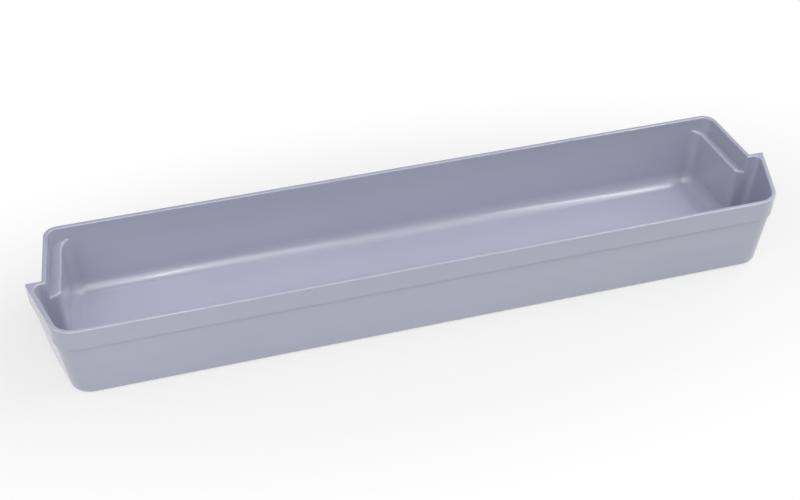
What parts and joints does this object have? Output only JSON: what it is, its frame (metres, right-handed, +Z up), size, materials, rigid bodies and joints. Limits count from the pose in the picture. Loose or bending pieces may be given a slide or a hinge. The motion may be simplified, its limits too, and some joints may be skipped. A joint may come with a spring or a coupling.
{
  "type": "fridge door shelf",
  "caption": "Long open fridge door shelf: a moulded tray with a thicker band under the rim, ears that widen its front part and stepped rear ends that rest on the ribs of the door.",
  "frame": {"origin": "middle of the underside, on the surface that the shelf stands on", "axes": "+X along the shelf to the right as seen from the room, +Y towards the door that carries it, +Z up"},
  "size_m": [0.4894, 0.1004, 0.0545],
  "materials": {
    "shelf_plastic": "semi-gloss, pale lavender grey"
  },
  "bodies": {
    "root": {"door_shelf": "shelf_plastic"}
  },
  "joints": []
}
